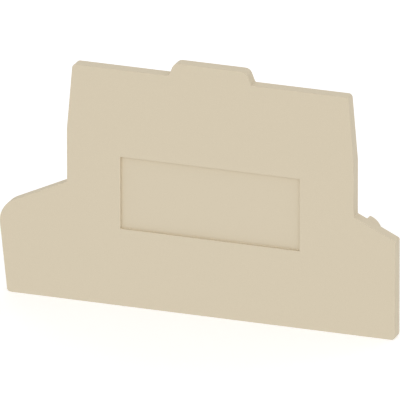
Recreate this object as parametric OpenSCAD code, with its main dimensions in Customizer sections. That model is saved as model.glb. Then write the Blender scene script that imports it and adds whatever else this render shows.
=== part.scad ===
// End cover for a two-level rail terminal block, moulded in one piece.
// The plate stands upright, as it does on the rail: X along its length, Y through it, Z up.
// The outer face looks along -Y. The mating face, at Y = 0, carries the pegs and the lug.
// Origin: on the mating face, at the lower edge, on the centre line of the upper body.

/* [Plate] */
// Thickness of the plate
plate_t = 2.5; // [1.5:0.1:4]
// Radius in the outline's inner corners, at the shoulders and the tab
root_r = 0.3; // [0.1:0.1:1]

/* [Upper body] */
// Width between the body's upright sides
body_w = 56.4; // [50:0.2:66]
// Height of the upright sides above the shoulders
side_h = 10.4; // [7:0.2:16]
// Height of the crown, where the sides lean inwards
crown_h = 12.85; // [8:0.05:18]
// Lean of the crown's sides, in degrees
crown_lean = 5; // [0:0.5:10]
// Radius of the crown's corners
crown_r = 0.8; // [0.3:0.1:3]

/* [Feet] */
// Height of the shoulders where they leave the body
shoulder_h = 23.25; // [20:0.05:28]
// Slope of the shoulders, in degrees
shoulder_slope = 25; // [15:1:30]
// Reach of the left foot beyond the body, to its unrounded corner
left_reach = 13.7; // [11:0.1:18]
// Lean of the left foot's end, inwards towards the lower edge, in degrees
left_lean = 6; // [0:0.5:10]
// Radius of the left foot's nose
left_nose_r = 4.8; // [1:0.1:6]
// Reach of the right foot beyond the body
right_reach = 8.2; // [6:0.1:12]
// Radius of the right foot's nose
right_nose_r = 0.5; // [0.2:0.1:3]
// Radius of the two lower corners
heel_r = 0.8; // [0.2:0.1:3]

/* [Tab] */
// Width of the grip tab at its root
tab_w = 16.2; // [10:0.2:24]
// Height of the tab above the crown
tab_h = 2.55; // [1.5:0.05:5]
// Steepness of the tab's flanks, in degrees
tab_flank = 68; // [50:1:85]
// Radius of the tab's upper corners
tab_r = 1.4; // [0.4:0.1:2]

/* [Label pocket] */
// Width of the pocket in the outer face
pocket_w = 35.3; // [20:0.1:44]
// Height of the pocket
pocket_h = 14.2; // [6:0.1:18]
// Height of the pocket's lower side above the lower edge
pocket_low = 15.2; // [4:0.1:20]
// Depth of the pocket
pocket_depth = 0.6; // [0.2:0.1:1]

/* [Lug on the right shoulder] */
// Radius of the lug's round back
lug_r = 3.25; // [2.5:0.05:3.6]
// Distance of its centre beyond the body's side
lug_out = 0.8; // [0:0.1:1.5]
// Distance of its round back below the shoulder
lug_drop = 0.2; // [0:0.05:1]
// Distance of its flat side from its centre
lug_flat = 0.8; // [0:0.1:1.5]
// Height of the lug above the mating face
lug_len = 2.1; // [1:0.1:4]

/* [Locating pegs] */
// Diameter of each peg
peg_d = 3; // [2:0.1:4]
// Height of the pegs above the mating face
peg_len = 2.4; // [1.2:0.1:5]
// Bevel round each peg's tip
peg_bevel = 0.4; // [0.1:0.05:0.6]
// Distance of the upper pegs from the body's sides
peg_side = 6; // [4:0.5:10]
// Distance of the upper pegs below the crown's top edge
peg_top = 6; // [4:0.5:9]
// Distance of the lower pegs from the ends of the feet
peg_end = 7; // [4:0.5:10]
// Height of the lower pegs above the lower edge
peg_low = 6; // [4:0.5:8]

/* [Hidden] */
$fn = 96;

beige = [0.84, 0.79, 0.7];
// How far a cut runs past the face it opens
past = 1;
// How deep the pegs and the lug are rooted in the plate
rooted = 0.5;
// How far a corner's arc crosses its two sides, so that it meets them cleanly
lap = 0.001;

half_w = body_w / 2;
waist_z = shoulder_h + side_h;
crown_z = waist_z + crown_h;
tab_z = crown_z + tab_h;
crown_half = half_w - crown_h * tan(crown_lean);
tab_half = tab_w / 2;
tab_top_half = tab_half - tab_h / tan(tab_flank);
left_x = -half_w - left_reach;
right_x = half_w + right_reach;
left_nose_z = shoulder_at(half_w + left_reach);
right_nose_z = shoulder_at(right_x);
left_heel_x = left_x + left_nose_z * tan(left_lean);

lug_x = half_w + lug_out;
lug_z = shoulder_at(lug_x) - (lug_r + lug_drop) / cos(shoulder_slope);

// The outline's corners as [x, z, radius], anticlockwise from the lower left
CORNERS = [
    [left_heel_x, 0, heel_r],
    [right_x, 0, heel_r],
    [right_x, right_nose_z, right_nose_r],
    [half_w, shoulder_h, root_r],
    [half_w, waist_z, 0],
    [crown_half, crown_z, crown_r],
    [tab_half, crown_z, root_r],
    [tab_top_half, tab_z, tab_r],
    [-tab_top_half, tab_z, tab_r],
    [-tab_half, crown_z, root_r],
    [-crown_half, crown_z, crown_r],
    [-half_w, waist_z, 0],
    [-half_w, shoulder_h, root_r],
    [left_x, left_nose_z, left_nose_r],
];

// The four pegs as [x, z]
PEGS = [
    [half_w - peg_side, crown_z - peg_top],
    [-half_w + peg_side, crown_z - peg_top],
    [right_x - peg_end, peg_low],
    [left_x + peg_end, peg_low],
];

// Height of the shoulder line at a distance from the centre line
function shoulder_at(x) = shoulder_h - (x - half_w) * tan(shoulder_slope);

function unit(v) = v / norm(v);
function place(corner) = [corner[0], corner[1]];
function before(i) = place(CORNERS[(i + len(CORNERS) - 1) % len(CORNERS)]);
function after(i) = place(CORNERS[(i + 1) % len(CORNERS)]);
function towards_before(i) = unit(before(i) - place(CORNERS[i]));
function towards_after(i) = unit(after(i) - place(CORNERS[i]));
// Half of the angle between the two sides that meet at corner i
function half_angle(i) = acos(towards_before(i) * towards_after(i)) / 2;
// The two points where the arc of corner i touches its sides, or the bare corner
function touches(i) =
    CORNERS[i][2] == 0
    ? [place(CORNERS[i])]
    : [for (side = [towards_before(i), towards_after(i)])
        place(CORNERS[i]) + side * CORNERS[i][2] / tan(half_angle(i))];
// Centre of the arc of corner i
function arc_centre(i) =
    place(CORNERS[i])
    + unit(towards_before(i) + towards_after(i)) * CORNERS[i][2] / sin(half_angle(i));
// True where the outline bulges, false in an inner corner
function bulges(i) = cross(towards_after(i), towards_before(i)) > 0;

module arcs(outward) {
    for (i = [0 : len(CORNERS) - 1])
        if (CORNERS[i][2] > 0 && bulges(i) == outward)
            translate(arc_centre(i)) circle(r = CORNERS[i][2] + lap);
}

// The plate's outline: straight sides between the touching points, and a true arc in each corner
module outline() {
    difference() {
        union() {
            polygon([for (i = [0 : len(CORNERS) - 1]) each touches(i)]);
            arcs(true);
        }
        arcs(false);
    }
}

// Stands a flat shape up, from depth `from` to depth `to` along Y
module upright(from, to) {
    translate([0, to, 0]) rotate([90, 0, 0]) linear_extrude(to - from) children();
}

// Shallow pocket that takes a self-adhesive label
module label_pocket() {
    translate([-pocket_w / 2, -plate_t - past, pocket_low])
        cube([pocket_w, past + pocket_depth, pocket_h]);
}

// Locating lug behind the right shoulder: a disc with one side cut flat
module lug() {
    upright(-rooted, lug_len) intersection() {
        translate([lug_x, lug_z]) circle(r = lug_r);
        translate([lug_x + lug_flat, lug_z - lug_r]) square([lug_r, 2 * lug_r]);
    }
}

// Round peg with a bevelled tip, standing on the mating face
module peg() {
    translate([0, -rooted, 0]) rotate([-90, 0, 0]) {
        cylinder(h = rooted + peg_len - peg_bevel, d = peg_d);
        translate([0, 0, rooted + peg_len - peg_bevel])
            cylinder(h = peg_bevel, d1 = peg_d, d2 = peg_d - 2 * peg_bevel);
    }
}

module end_cover() {
    color(beige) {
        difference() {
            upright(-plate_t, 0) outline();
            label_pocket();
        }
        lug();
        for (at = PEGS)
            translate([at[0], 0, at[1]]) peg();
    }
}

end_cover();
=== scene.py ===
"""Looks of a terminal block end cover: one beige moulding with broken edges and fine grain."""

import math

import bmesh
import bpy
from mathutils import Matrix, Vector


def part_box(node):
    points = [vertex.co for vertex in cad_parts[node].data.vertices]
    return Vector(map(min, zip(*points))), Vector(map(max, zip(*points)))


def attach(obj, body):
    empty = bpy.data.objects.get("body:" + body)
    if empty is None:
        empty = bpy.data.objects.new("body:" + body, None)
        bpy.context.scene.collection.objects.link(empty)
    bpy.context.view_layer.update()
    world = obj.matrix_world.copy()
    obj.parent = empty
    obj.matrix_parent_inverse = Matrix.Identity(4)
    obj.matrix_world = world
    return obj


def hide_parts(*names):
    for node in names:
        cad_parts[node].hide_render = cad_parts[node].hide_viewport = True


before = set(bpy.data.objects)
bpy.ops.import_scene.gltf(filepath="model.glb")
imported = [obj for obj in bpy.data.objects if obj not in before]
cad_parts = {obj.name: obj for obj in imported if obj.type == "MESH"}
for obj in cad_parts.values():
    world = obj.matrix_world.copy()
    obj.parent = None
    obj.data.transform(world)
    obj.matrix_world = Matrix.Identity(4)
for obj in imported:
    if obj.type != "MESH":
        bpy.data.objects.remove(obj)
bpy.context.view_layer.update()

NODE = "end_cover"
BODY = "root"
MM = 0.001
WHITE = (1, 1, 1, 1)

# Radii of the moulding's edges and inner corners
OUTER_RIM = 0.10 * MM
POCKET_RIM = 0.03 * MM
POCKET_CORNER = 0.03 * MM
ROOT_FILLET = 0.08 * MM
TIP_BREAK = 0.06 * MM
LARGEST_BREAK = 0.10 * MM
BREAK_STEPS = 3

# Distances within which points are one, and a place is the same
WELD = 0.0001 * MM
SAME_PLACE = 0.01 * MM

# Up to the first angle faces are one, past the second an edge is sharp, past the third it is no bevel
FLAT_ANGLE = math.radians(0.5)
SHARP_ANGLE = math.radians(25)
CHAMFER_ANGLE = math.radians(60)

# Y of the mating face, Y of a normal that looks outwards, and how firmly large faces stay flat
MATING_Y = 0
LOOKS_OUT = -0.99
FLATNESS = 100

# The camera stands on the photo's line of sight, so far off that the view is as good as parallel
CAMERA_AZIMUTH = 20
CAMERA_ELEVATION = 20
LENS = 1500
SENSOR = 36
CLIP_RATIO = 10
FRAME_WIDTH = 74.00 * MM
AIM_X = -1.92 * MM
AIM_Z = 22.86 * MM

# A white dome, brightest overhead, and three wide soft lamps, each with azimuth, elevation and level
DOME_HORIZON = 0.13
DOME_ZENITH = 0.82
LAMP_SPREAD = math.radians(90)
LAMPS = {
    "front_lamp": (6, 5, 0.568),
    "right_lamp": (90, 5, 0.165),
    "back_lamp": (180, 20, 0.300),
}

# The floor is lifted to white where it is seen, and lights the object with an even glow
FLOOR_HALF = 3.0
FLOOR_COLOUR = (0.88, 0.88, 0.88, 1)
FLOOR_LIFT = 0.33
FLOOR_GLOW = 0.863

# The plastic's lighter and deeper tone, and the painted shade in the pits of its grain
BEIGE = (0.698, 0.610, 0.456, 1)
BEIGE_DEEP = (0.682, 0.596, 0.444, 1)
BEIGE_PIT_SHADE = (0.656, 0.571, 0.423, 1)

# Its gloss, and the sizes of its grain and of the drift where it flowed
REFRACTION = 1.53
SHEEN = 0.4
ROUGH_MIN = 0.60
ROUGH_MAX = 0.68
GRAIN_SIZE = 0.09 * MM
GRAIN_DETAIL = 2
GRAIN_DEPTH = 0.008 * MM
PIT_LEVEL = 0.35
RIDGE_LEVEL = 0.60
FLOW_SIZE = 22 * MM
FLOW_DETAIL = 3


def line_of_sight(azimuth, elevation):
    """Unit vector from the object to a camera or lamp."""
    a, e = math.radians(azimuth), math.radians(elevation)
    return Vector((math.sin(a) * math.cos(e), -math.cos(a) * math.cos(e), math.sin(e)))


def look_along(thing, way):
    """Turns a camera or lamp so that it points along a direction."""
    thing.rotation_mode = "QUATERNION"
    thing.rotation_quaternion = way.to_track_quat("-Z", "Y")


def make_camera(front_y):
    data = bpy.data.cameras.new("camera")
    data.lens = LENS
    data.sensor_width = SENSOR
    distance = FRAME_WIDTH * LENS / SENSOR
    data.clip_start = distance / CLIP_RATIO
    data.clip_end = distance * CLIP_RATIO
    camera = bpy.data.objects.new("camera", data)
    back = line_of_sight(CAMERA_AZIMUTH, CAMERA_ELEVATION)
    camera.location = Vector((AIM_X, front_y, AIM_Z)) + back * distance
    look_along(camera, -back)
    bpy.context.scene.collection.objects.link(camera)
    bpy.context.scene.camera = camera


def larger(tree, first, second):
    node = tree.nodes.new("ShaderNodeMath")
    node.operation = "MAXIMUM"
    tree.links.new(first, node.inputs[0])
    tree.links.new(second, node.inputs[1])
    return node.outputs[0]


def seen_directly(tree):
    """1 for rays that see a thing, in a mirror or through glass too, and 0 for those that light others."""
    rays = tree.nodes.new("ShaderNodeLightPath").outputs
    straight_or_mirrored = larger(tree, rays["Is Camera Ray"], rays["Is Glossy Ray"])
    return larger(tree, straight_or_mirrored, rays["Is Transmission Ray"])


def rescaled(tree, value, low, high, new_low, new_high):
    """The value with low to high stretched to new_low to new_high, and held there beyond."""
    node = tree.nodes.new("ShaderNodeMapRange")
    node.inputs["From Min"].default_value = low
    node.inputs["From Max"].default_value = high
    node.inputs["To Min"].default_value = new_low
    node.inputs["To Max"].default_value = new_high
    tree.links.new(value, node.inputs["Value"])
    return node.outputs["Result"]


def noise(tree, place, size, detail):
    """Noise from 0 to 1 whose lumps are about as wide as the size."""
    node = tree.nodes.new("ShaderNodeTexNoise")
    node.inputs["Scale"].default_value = 1 / size
    node.inputs["Detail"].default_value = detail
    tree.links.new(place, node.inputs["Vector"])
    return node.outputs["Fac"]


def colour_mix(tree, share):
    """Mix of colours A and B, which the caller sets, with the share of B given."""
    node = tree.nodes.new("ShaderNodeMix")
    node.data_type = "RGBA"
    tree.links.new(share, node.inputs["Factor"])
    return node


def make_dome():
    world = bpy.data.worlds.new("dome")
    world.use_nodes = True
    tree = world.node_tree
    tree.nodes.clear()
    way = tree.nodes.new("ShaderNodeSeparateXYZ")
    tree.links.new(tree.nodes.new("ShaderNodeTexCoord").outputs["Generated"], way.inputs[0])
    lighting = tree.nodes.new("ShaderNodeBackground")
    lighting.inputs["Color"].default_value = WHITE
    level = rescaled(tree, way.outputs["Z"], 0, 1, DOME_HORIZON, DOME_ZENITH)
    tree.links.new(level, lighting.inputs["Strength"])
    seen = tree.nodes.new("ShaderNodeBackground")
    seen.inputs["Color"].default_value = WHITE
    seen.inputs["Strength"].default_value = 1
    either = tree.nodes.new("ShaderNodeMixShader")
    tree.links.new(seen_directly(tree), either.inputs["Fac"])
    tree.links.new(lighting.outputs[0], either.inputs[1])
    tree.links.new(seen.outputs[0], either.inputs[2])
    out = tree.nodes.new("ShaderNodeOutputWorld")
    tree.links.new(either.outputs[0], out.inputs["Surface"])
    bpy.context.scene.world = world


def make_lamps():
    for name, (azimuth, elevation, level) in LAMPS.items():
        data = bpy.data.lights.new(name, "SUN")
        data.energy = level * math.pi
        data.angle = LAMP_SPREAD
        lamp = bpy.data.objects.new(name, data)
        lamp.visible_glossy = False
        look_along(lamp, -line_of_sight(azimuth, elevation))
        bpy.context.scene.collection.objects.link(lamp)


def floor_material():
    """Pale paint that keeps its shadow where it is seen, and an even glow for what it lights."""
    material = bpy.data.materials.new("pale_floor")
    material.use_nodes = True
    tree = material.node_tree
    tree.nodes.clear()
    paint = tree.nodes.new("ShaderNodeBsdfDiffuse")
    paint.inputs["Color"].default_value = FLOOR_COLOUR
    lift = tree.nodes.new("ShaderNodeEmission")
    lift.inputs["Strength"].default_value = FLOOR_LIFT
    look = tree.nodes.new("ShaderNodeAddShader")
    tree.links.new(paint.outputs[0], look.inputs[0])
    tree.links.new(lift.outputs[0], look.inputs[1])
    glow = tree.nodes.new("ShaderNodeEmission")
    glow.inputs["Strength"].default_value = FLOOR_GLOW
    either = tree.nodes.new("ShaderNodeMixShader")
    tree.links.new(seen_directly(tree), either.inputs["Fac"])
    tree.links.new(glow.outputs[0], either.inputs[1])
    tree.links.new(look.outputs[0], either.inputs[2])
    out = tree.nodes.new("ShaderNodeOutputMaterial")
    tree.links.new(either.outputs[0], out.inputs["Surface"])
    return material


def make_floor(height):
    bm = bmesh.new()
    corners = [(-1, -1), (1, -1), (1, 1), (-1, 1)]
    bm.faces.new([bm.verts.new((x * FLOOR_HALF, y * FLOOR_HALF, height)) for x, y in corners])
    mesh = bpy.data.meshes.new("floor")
    bm.to_mesh(mesh)
    bm.free()
    mesh.materials.append(floor_material())
    floor = bpy.data.objects.new("floor", mesh)
    bpy.context.scene.collection.objects.link(floor)


def plastic_material():
    """Beige polyamide from a spark-eroded mould, with a fine grain, a faint drift of tone and gloss, and
    painted shade in the grain's pits.
    """
    material = bpy.data.materials.new("beige_polyamide")
    material.use_nodes = True
    tree = material.node_tree
    shader = tree.nodes["Principled BSDF"]
    shader.inputs["IOR"].default_value = REFRACTION
    shader.inputs["Specular IOR Level"].default_value = SHEEN
    place = tree.nodes.new("ShaderNodeTexCoord").outputs["Object"]

    flow = noise(tree, place, FLOW_SIZE, FLOW_DETAIL)
    tone = colour_mix(tree, flow)
    tone.inputs["A"].default_value = BEIGE_DEEP
    tone.inputs["B"].default_value = BEIGE
    tree.links.new(rescaled(tree, flow, 0, 1, ROUGH_MIN, ROUGH_MAX), shader.inputs["Roughness"])

    grain = noise(tree, place, GRAIN_SIZE, GRAIN_DETAIL)
    # The low points of the grain are painted darker: painted shade in its pits
    pit_shaded = colour_mix(tree, rescaled(tree, grain, PIT_LEVEL, RIDGE_LEVEL, 0, 1))
    pit_shaded.inputs["A"].default_value = BEIGE_PIT_SHADE
    tree.links.new(tone.outputs["Result"], pit_shaded.inputs["B"])
    tree.links.new(pit_shaded.outputs["Result"], shader.inputs["Base Color"])

    bump = tree.nodes.new("ShaderNodeBump")
    bump.inputs["Distance"].default_value = GRAIN_DEPTH
    tree.links.new(grain, bump.inputs["Height"])
    tree.links.new(bump.outputs["Normal"], shader.inputs["Normal"])
    return material


def pocket_box(bm, front_y):
    """Lowest and highest corner of the label pocket's bottom, which lies behind the outer face."""
    looking_out = [f for f in bm.faces if f.normal.y < LOOKS_OUT]
    set_back = [f for f in looking_out if f.calc_center_median().y > front_y + SAME_PLACE]
    points = [v.co for v in max(set_back, key=lambda f: f.calc_area()).verts]
    low = [min(p[i] for p in points) for i in range(3)]
    high = [max(p[i] for p in points) for i in range(3)]
    return low, high


def in_pocket(edge, low, high):
    """True for the edges of the pocket: its rim, its corners and the foot of its sides."""
    return all(
        v.co.y < MATING_Y - SAME_PLACE
        and all(low[i] - SAME_PLACE < v.co[i] < high[i] + SAME_PLACE for i in (0, 2))
        for v in edge.verts
    )


def break_size(edge, pocket):
    """Radius to which a sharp edge is broken, or an inner corner filled."""
    if in_pocket(edge, *pocket):
        return POCKET_RIM if edge.is_convex else POCKET_CORNER
    if not edge.is_convex:
        return ROOT_FILLET
    return OUTER_RIM if edge.calc_face_angle() > CHAMFER_ANGLE else TIP_BREAK


def make_moulding(front_y):
    """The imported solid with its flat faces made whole, its edges broken and its inner corners filled."""
    bm = bmesh.new()
    bm.from_mesh(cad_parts[NODE].data)
    bmesh.ops.remove_doubles(bm, verts=bm.verts, dist=WELD)
    bmesh.ops.dissolve_limit(bm, angle_limit=FLAT_ANGLE, verts=bm.verts, edges=bm.edges)
    pocket = pocket_box(bm, front_y)
    weight = bm.edges.layers.float.new("bevel_weight_edge")
    for edge in bm.edges:
        if edge.calc_face_angle() > SHARP_ANGLE:
            edge[weight] = break_size(edge, pocket) / LARGEST_BREAK
    for face in bm.faces:
        face.smooth = True
        face.material_index = 0
    mesh = bpy.data.meshes.new("moulding")
    bm.to_mesh(mesh)
    bm.free()
    mesh.materials.append(plastic_material())
    piece = bpy.data.objects.new("moulding", mesh)
    bpy.context.scene.collection.objects.link(piece)
    edges = piece.modifiers.new("broken_edges", "BEVEL")
    edges.width = LARGEST_BREAK
    edges.segments = BREAK_STEPS
    edges.limit_method = "WEIGHT"
    edges.use_clamp_overlap = False
    edges.loop_slide = False
    normals = piece.modifiers.new("flat_faces_stay_flat", "WEIGHTED_NORMAL")
    normals.weight = FLATNESS
    return piece


box_low, box_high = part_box(NODE)
make_camera(box_low.y)
make_dome()
make_lamps()
make_floor(box_low.z)
moulding = make_moulding(box_low.y)
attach(moulding, BODY)
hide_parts(NODE)
bpy.context.scene.view_settings.view_transform = "Standard"
